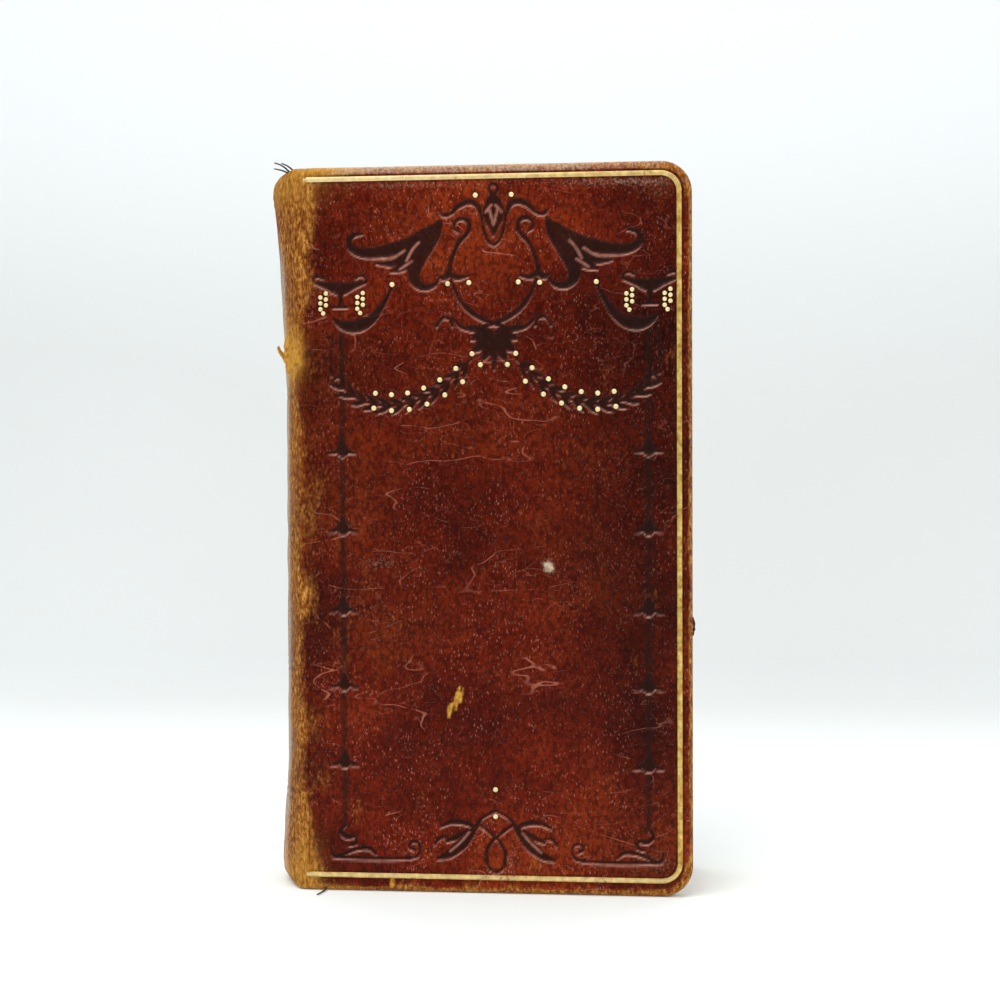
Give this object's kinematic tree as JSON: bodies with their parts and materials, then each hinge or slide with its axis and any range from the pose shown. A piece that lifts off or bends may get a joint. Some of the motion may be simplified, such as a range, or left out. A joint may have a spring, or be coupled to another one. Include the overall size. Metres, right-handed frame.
{
  "type": "prayer book",
  "caption": "Small upright leather-bound prayer book with a rounded spine, round-cornered covers, blind and gold tooling, hinged covers and fanning gatherings of leaves.",
  "frame": {"origin": "under the middle of the book, on the surface it stands on", "axes": "+Z from tail to head, -X towards the spine, +X towards the fore-edge, -Y out of the front cover"},
  "size_m": [0.0772, 0.0261, 0.13],
  "materials": {
    "cover_leather": "fine pebble grain, waxed, worn at the edges",
    "spine_leather": "rubbed pale at the joints and ends",
    "board": "dense grey-brown millboard",
    "lining_paper": "matt",
    "mull_cloth": "open weave, glued",
    "tape_cloth": "woven linen tape",
    "thread": "waxed linen thread",
    "end_band_silk": "striped silk over a cord",
    "end_paper": "matt, age-toned",
    "page_paper": "thin matt leaves with gilt edges",
    "gold_leaf": "worn gold leaf"
  },
  "bodies": {
    "spine": {"spine_leather": "spine_leather", "spine_card": "board", "spine_lining": "lining_paper", "mull": "mull_cloth", "sewing_tapes": "tape_cloth", "sewing_thread": "thread", "gathering_folds": "page_paper", "head_band": "end_band_silk", "tail_band": "end_band_silk"},
    "front_cover": {"front_board": "board", "front_leather": "cover_leather", "front_pastedown": "end_paper", "front_mull_flap": "mull_cloth", "front_gold_fillet": "gold_leaf", "front_gold_dots": "gold_leaf"},
    "back_cover": {"back_board": "board", "back_leather": "cover_leather", "back_pastedown": "end_paper", "back_mull_flap": "mull_cloth", "back_gold_fillet": "gold_leaf"},
    "front_flyleaf": {"front_flyleaf": "end_paper"},
    "back_flyleaf": {"back_flyleaf": "end_paper"},
    "gathering_01": {"gathering_01": "page_paper"},
    "gathering_02": {"gathering_02": "page_paper"},
    "gathering_03": {"gathering_03": "page_paper"},
    "gathering_04": {"gathering_04": "page_paper"},
    "gathering_05": {"gathering_05": "page_paper"},
    "gathering_06": {"gathering_06": "page_paper"},
    "gathering_07": {"gathering_07": "page_paper"},
    "gathering_08": {"gathering_08": "page_paper"},
    "gathering_09": {"gathering_09": "page_paper"},
    "gathering_10": {"gathering_10": "page_paper"},
    "gathering_11": {"gathering_11": "page_paper"},
    "gathering_12": {"gathering_12": "page_paper"},
    "gathering_13": {"gathering_13": "page_paper"},
    "gathering_14": {"gathering_14": "page_paper"},
    "gathering_15": {"gathering_15": "page_paper"},
    "gathering_16": {"gathering_16": "page_paper"}
  },
  "joints": [
    {"name": "front_cover_hinge", "type": "hinge", "parent": "spine", "child": "front_cover", "pos_m": [-0.03135, -0.013, 0], "axis": [0, 0, -1], "range_deg": [0, 175]},
    {"name": "back_cover_hinge", "type": "hinge", "parent": "spine", "child": "back_cover", "pos_m": [-0.03135, 0.013, 0], "axis": [0, 0, 1], "range_deg": [0, 175]},
    {"name": "front_flyleaf_turn", "type": "hinge", "parent": "spine", "child": "front_flyleaf", "pos_m": [-0.03045, -0.0099, 0], "axis": [0, 0, -1], "range_deg": [0, 91]},
    {"name": "back_flyleaf_turn", "type": "hinge", "parent": "spine", "child": "back_flyleaf", "pos_m": [-0.03045, 0.0099, 0], "axis": [0, 0, 1], "range_deg": [0, 91]},
    {"name": "gathering_01_turn", "type": "hinge", "parent": "spine", "child": "gathering_01", "pos_m": [-0.02985, -0.00919, 0], "axis": [0, 0, -1], "range_deg": [0, 82.3]},
    {"name": "gathering_02_turn", "type": "hinge", "parent": "spine", "child": "gathering_02", "pos_m": [-0.02985, -0.00796, 0], "axis": [0, 0, -1], "range_deg": [0, 71.5]},
    {"name": "gathering_03_turn", "type": "hinge", "parent": "spine", "child": "gathering_03", "pos_m": [-0.02985, -0.00674, 0], "axis": [0, 0, -1], "range_deg": [0, 60.7]},
    {"name": "gathering_04_turn", "type": "hinge", "parent": "spine", "child": "gathering_04", "pos_m": [-0.02985, -0.00551, 0], "axis": [0, 0, -1], "range_deg": [0, 49.8]},
    {"name": "gathering_05_turn", "type": "hinge", "parent": "spine", "child": "gathering_05", "pos_m": [-0.02985, -0.00429, 0], "axis": [0, 0, -1], "range_deg": [0, 39]},
    {"name": "gathering_06_turn", "type": "hinge", "parent": "spine", "child": "gathering_06", "pos_m": [-0.02985, -0.00306, 0], "axis": [0, 0, -1], "range_deg": [0, 28.2]},
    {"name": "gathering_07_turn", "type": "hinge", "parent": "spine", "child": "gathering_07", "pos_m": [-0.02985, -0.00184, 0], "axis": [0, 0, -1], "range_deg": [0, 17.4]},
    {"name": "gathering_08_turn", "type": "hinge", "parent": "spine", "child": "gathering_08", "pos_m": [-0.02985, -0.00061, 0], "axis": [0, 0, -1], "range_deg": [0, 6.5]},
    {"name": "gathering_09_turn", "type": "hinge", "parent": "spine", "child": "gathering_09", "pos_m": [-0.02985, 0.00061, 0], "axis": [0, 0, 1], "range_deg": [0, 6.5]},
    {"name": "gathering_10_turn", "type": "hinge", "parent": "spine", "child": "gathering_10", "pos_m": [-0.02985, 0.00184, 0], "axis": [0, 0, 1], "range_deg": [0, 17.4]},
    {"name": "gathering_11_turn", "type": "hinge", "parent": "spine", "child": "gathering_11", "pos_m": [-0.02985, 0.00306, 0], "axis": [0, 0, 1], "range_deg": [0, 28.2]},
    {"name": "gathering_12_turn", "type": "hinge", "parent": "spine", "child": "gathering_12", "pos_m": [-0.02985, 0.00429, 0], "axis": [0, 0, 1], "range_deg": [0, 39]},
    {"name": "gathering_13_turn", "type": "hinge", "parent": "spine", "child": "gathering_13", "pos_m": [-0.02985, 0.00551, 0], "axis": [0, 0, 1], "range_deg": [0, 49.8]},
    {"name": "gathering_14_turn", "type": "hinge", "parent": "spine", "child": "gathering_14", "pos_m": [-0.02985, 0.00674, 0], "axis": [0, 0, 1], "range_deg": [0, 60.7]},
    {"name": "gathering_15_turn", "type": "hinge", "parent": "spine", "child": "gathering_15", "pos_m": [-0.02985, 0.00796, 0], "axis": [0, 0, 1], "range_deg": [0, 71.5]},
    {"name": "gathering_16_turn", "type": "hinge", "parent": "spine", "child": "gathering_16", "pos_m": [-0.02985, 0.00919, 0], "axis": [0, 0, 1], "range_deg": [0, 82.3]}
  ],
  "couplings": [
    {"joint": "front_flyleaf_turn", "follows": "front_cover_hinge", "ratio": 0.52},
    {"joint": "back_flyleaf_turn", "follows": "back_cover_hinge", "ratio": 0.52},
    {"joint": "gathering_01_turn", "follows": "front_cover_hinge", "ratio": 0.47},
    {"joint": "gathering_02_turn", "follows": "front_cover_hinge", "ratio": 0.4082},
    {"joint": "gathering_03_turn", "follows": "front_cover_hinge", "ratio": 0.3463},
    {"joint": "gathering_04_turn", "follows": "front_cover_hinge", "ratio": 0.2845},
    {"joint": "gathering_05_turn", "follows": "front_cover_hinge", "ratio": 0.2226},
    {"joint": "gathering_06_turn", "follows": "front_cover_hinge", "ratio": 0.1608},
    {"joint": "gathering_07_turn", "follows": "front_cover_hinge", "ratio": 0.0989},
    {"joint": "gathering_08_turn", "follows": "front_cover_hinge", "ratio": 0.0371},
    {"joint": "gathering_09_turn", "follows": "back_cover_hinge", "ratio": 0.0371},
    {"joint": "gathering_10_turn", "follows": "back_cover_hinge", "ratio": 0.0989},
    {"joint": "gathering_11_turn", "follows": "back_cover_hinge", "ratio": 0.1608},
    {"joint": "gathering_12_turn", "follows": "back_cover_hinge", "ratio": 0.2226},
    {"joint": "gathering_13_turn", "follows": "back_cover_hinge", "ratio": 0.2845},
    {"joint": "gathering_14_turn", "follows": "back_cover_hinge", "ratio": 0.3463},
    {"joint": "gathering_15_turn", "follows": "back_cover_hinge", "ratio": 0.4082},
    {"joint": "gathering_16_turn", "follows": "back_cover_hinge", "ratio": 0.47}
  ]
}
